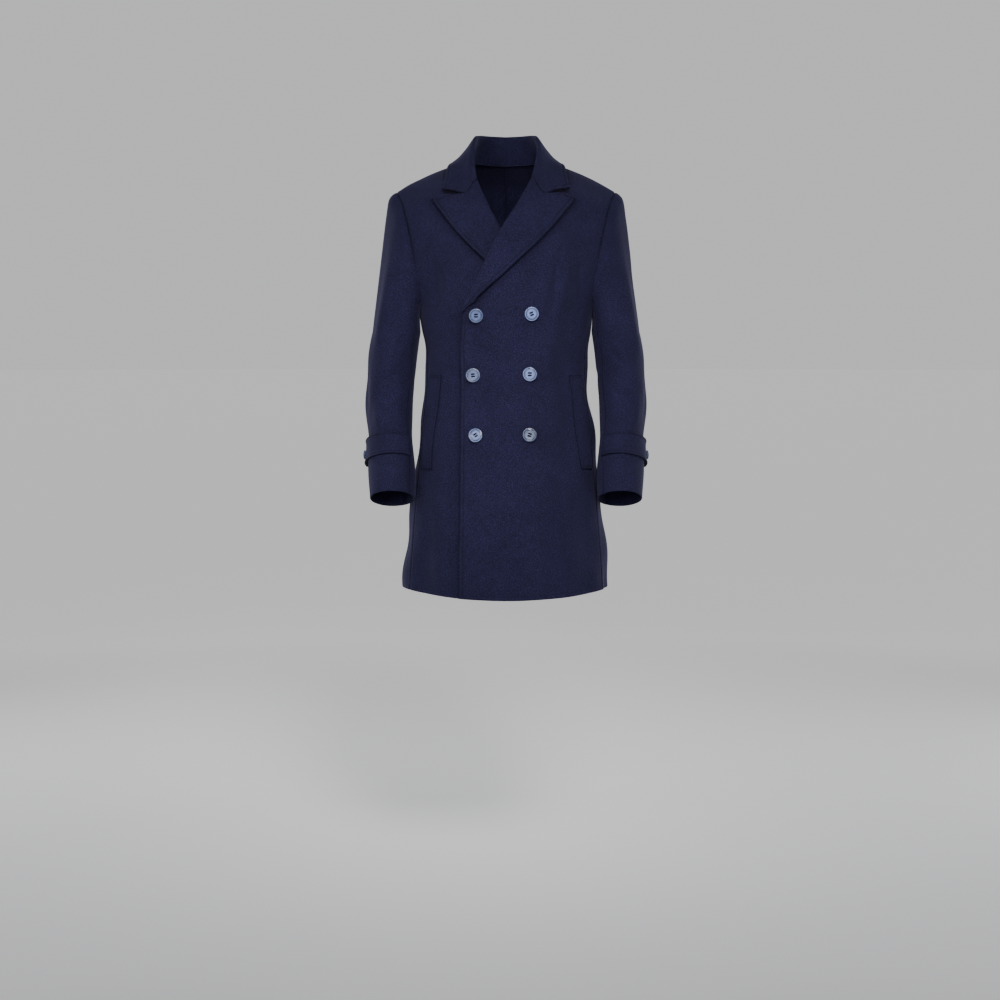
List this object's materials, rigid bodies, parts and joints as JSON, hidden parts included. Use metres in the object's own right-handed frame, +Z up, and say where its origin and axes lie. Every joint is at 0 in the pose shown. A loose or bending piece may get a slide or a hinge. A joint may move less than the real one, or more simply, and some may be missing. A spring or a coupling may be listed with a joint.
{
  "type": "pea coat",
  "caption": "Long double-breasted wool pea coat in its worn, hollow shape, with peak lapels, slanted welt pockets and buttoned cuff straps.",
  "frame": {"origin": "middle of the neck, at the height where the collar meets the shoulders, where the wearer carries the coat", "axes": "+Z up, the front of the coat faces -Y, +X is the wearer's left"},
  "size_m": [0.583, 0.3383, 0.9338],
  "materials": {
    "cloth": "navy wool melton, fulled and brushed, with a short matt nap",
    "button": "slate blue moulded plastic, polished, with a raised rim"
  },
  "bodies": {
    "root": {"front_left": "cloth", "front_right": "cloth", "back_left": "cloth", "back_right": "cloth", "collar": "cloth", "lapel_left": "cloth", "lapel_right": "cloth", "sleeve_top_left": "cloth", "sleeve_top_right": "cloth", "sleeve_under_left": "cloth", "sleeve_under_right": "cloth", "cuff_strap_left": "cloth", "cuff_strap_right": "cloth", "pocket_welt_left": "cloth", "pocket_welt_right": "cloth", "front_button_1": "button", "front_button_2": "button", "front_button_3": "button", "front_button_4": "button", "front_button_5": "button", "front_button_6": "button", "cuff_button_left": "button", "cuff_button_right": "button"}
  },
  "joints": []
}
